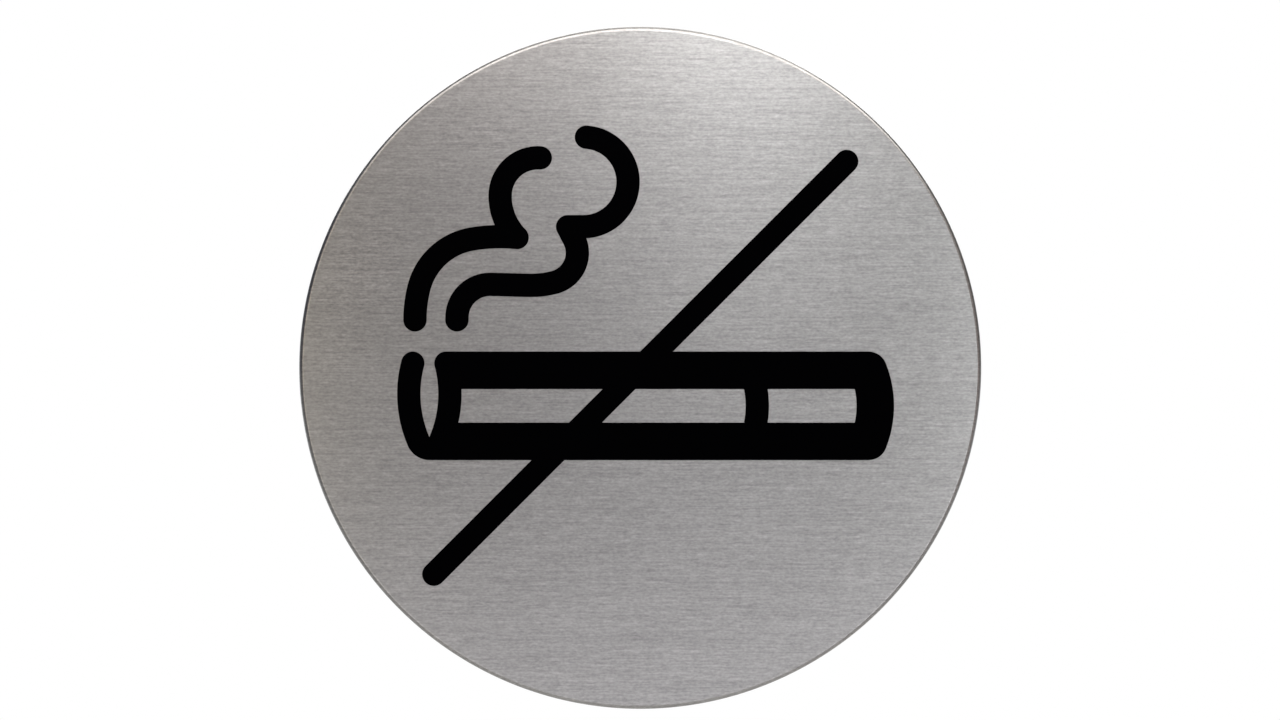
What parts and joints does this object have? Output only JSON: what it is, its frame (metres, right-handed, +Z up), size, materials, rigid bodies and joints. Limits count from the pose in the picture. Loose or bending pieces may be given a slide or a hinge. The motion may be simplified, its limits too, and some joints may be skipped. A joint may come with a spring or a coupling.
{
  "type": "no smoking sign",
  "caption": "Round stick-on no smoking sign: brushed steel disc with rounded edge, printed smoking cigarette crossed by a slanted bar, adhesive pad behind.",
  "frame": {"origin": "centre of the adhesive pad's back face, where the sign meets the wall", "axes": "+Y into the wall along the disc's axis, so the figure faces -Y; +Z up the sign; +X to the viewer's right"},
  "size_m": [0.083, 0.0015, 0.083],
  "materials": {
    "steel": "horizontally brushed stainless steel",
    "adhesive_foam": "white closed-cell foam with a tacky acrylic skin",
    "black_ink": "matt black screen-printed ink"
  },
  "bodies": {
    "root": {"plate": "steel", "adhesive_pad": "adhesive_foam", "print_cigarette_and_bar": "black_ink", "print_smoke_left": "black_ink", "print_smoke_right": "black_ink"}
  },
  "joints": []
}
